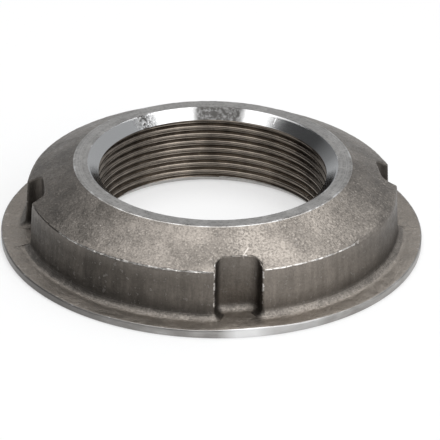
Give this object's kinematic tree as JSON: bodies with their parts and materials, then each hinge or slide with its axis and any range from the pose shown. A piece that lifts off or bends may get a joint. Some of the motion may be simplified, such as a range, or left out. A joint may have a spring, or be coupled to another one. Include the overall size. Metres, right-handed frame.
{
  "type": "castle nut",
  "caption": "Flanged round castle nut: a thin wide flange, a slotted band under a cone, and a threaded bore for a large shaft.",
  "frame": {"origin": "centre of the seating face under the flange, on the thread axis", "axes": "+Z along the thread axis, from the seating face towards the cone; the four slots lie on +X, +Y, -X and -Y"},
  "size_m": [0.1, 0.1, 0.0194],
  "materials": {
    "steel": "dark forged steel, blasted on the cone and turned bright on the rim, top face and chamfers"
  },
  "bodies": {
    "root": {"castle_nut": "steel"}
  },
  "joints": []
}
